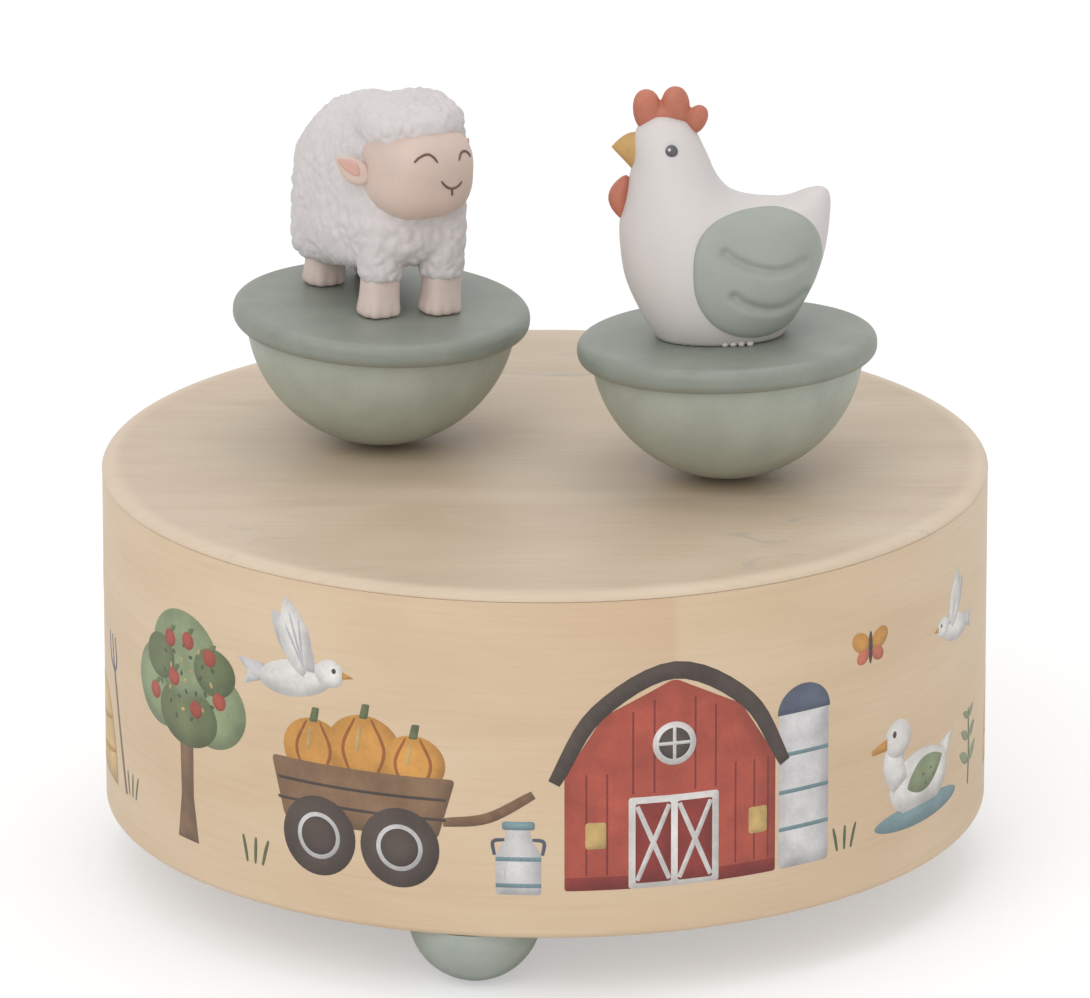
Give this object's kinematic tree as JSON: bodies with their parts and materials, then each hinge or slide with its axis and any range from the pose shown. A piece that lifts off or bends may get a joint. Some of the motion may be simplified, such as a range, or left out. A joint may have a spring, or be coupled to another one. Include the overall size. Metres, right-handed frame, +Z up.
{
  "type": "music box",
  "caption": "Round wooden drum music box with a wind-up comb movement; magnets under the lid make a sheep and a hen on round-bottomed rockers turn and dance.",
  "frame": {"origin": "on the ground under the centre of the drum, at the bottom of the feet", "axes": "+Z up along the drum's axis; -Y is the front, where the sheep looks; +X is the hen's side"},
  "size_m": [0.115, 0.115, 0.106],
  "materials": {
    "side_wood": "light wood, satin lacquer",
    "top_wood": "light wood, satin lacquer",
    "base_wood": "plain light wood",
    "foot_paint": "sage green paint on wood",
    "rocker_paint": "sage green paint on wood",
    "cap_paint": "darker sage green paint on wood",
    "fleece": "off-white moulded wool, matt",
    "face": "taupe pink, matt",
    "leg": "pale pink brown, matt",
    "hen_white": "off-white, matt",
    "wing": "sage grey, matt",
    "red": "rust red, matt",
    "beak": "ochre, matt",
    "brass": "plain brass",
    "steel": "bright steel",
    "nickel": "nickel plated magnet",
    "zinc": "zinc plated frame",
    "white_plastic": "white moulded plastic"
  },
  "bodies": {
    "case": {"drum_wall": "side_wood", "top_plate": "top_wood", "base_plate": "base_wood", "foot_1": "foot_paint", "foot_2": "foot_paint", "foot_3": "foot_paint", "base_screw_1": "steel", "base_screw_2": "steel", "base_screw_3": "steel", "movement_bedplate": "zinc", "bedplate_screw_1": "steel", "bedplate_screw_2": "steel", "bedplate_screw_3": "steel", "tuned_comb": "steel", "comb_screw_1": "steel", "comb_screw_2": "steel", "ratchet_click": "steel", "governor_bracket": "brass", "governor_screw": "steel"},
    "key": {"winding_key": "brass", "winding_arbor": "steel", "ratchet_wheel": "steel"},
    "barrel": {"spring_barrel": "brass", "mainspring": "steel", "crown_gear": "brass", "barrel_cover": "brass", "output_shaft": "steel", "rotor_disc": "white_plastic", "rotor_screw": "steel", "rotor_magnet_1": "nickel", "rotor_magnet_2": "nickel"},
    "cylinder": {"pinned_cylinder": "brass", "cylinder_arbor": "steel", "cylinder_pinion": "brass", "cylinder_wheel": "brass"},
    "governor": {"governor_arbor": "steel", "governor_pinion": "brass", "worm_wheel": "white_plastic"},
    "fly": {"worm_shaft": "steel", "air_vane": "white_plastic"},
    "sheep": {"sheep_rocker": "rocker_paint", "sheep_magnet": "nickel", "sheep_cap": "cap_paint", "sheep_fleece": "fleece", "sheep_face": "face", "sheep_ear_1": "face", "sheep_ear_2": "face", "sheep_leg_1": "leg", "sheep_leg_2": "leg", "sheep_leg_3": "leg", "sheep_leg_4": "leg"},
    "hen": {"hen_rocker": "rocker_paint", "hen_magnet": "nickel", "hen_cap": "cap_paint", "hen_body": "hen_white", "hen_comb": "red", "hen_beak": "beak", "hen_wattle": "red", "hen_wing_1": "wing", "hen_wing_2": "wing"}
  },
  "joints": [
    {"name": "key_wind", "type": "hinge", "parent": "case", "child": "key", "pos_m": [0, 0, 0.01], "axis": [0, 0, 1], "range_deg": [0, 1980]},
    {"name": "barrel_turn", "type": "hinge", "parent": "case", "child": "barrel", "pos_m": [0, 0, 0.022], "axis": [0, 0, 1], "continuous": true},
    {"name": "cylinder_turn", "type": "hinge", "parent": "case", "child": "cylinder", "pos_m": [0.03, 0, 0.03477], "axis": [1, 0, 0], "continuous": true},
    {"name": "governor_turn", "type": "hinge", "parent": "case", "child": "governor", "pos_m": [0.04, 0.01, 0.03477], "axis": [1, 0, 0], "continuous": true},
    {"name": "fly_spin", "type": "hinge", "parent": "case", "child": "fly", "pos_m": [0.038, 0.0144, 0.03477], "axis": [0, 0, 1], "continuous": true},
    {"name": "sheep_spin", "type": "hinge", "parent": "barrel", "child": "sheep", "pos_m": [-0.02116, 0.00688, 0.055], "axis": [0, 0, 1], "continuous": true},
    {"name": "hen_spin", "type": "hinge", "parent": "barrel", "child": "hen", "pos_m": [0.0234, -0.0076, 0.055], "axis": [0, 0, 1], "continuous": true}
  ],
  "couplings": [
    {"joint": "cylinder_turn", "follows": "barrel_turn", "ratio": 3},
    {"joint": "governor_turn", "follows": "barrel_turn", "ratio": -12},
    {"joint": "fly_spin", "follows": "barrel_turn", "ratio": 96}
  ]
}
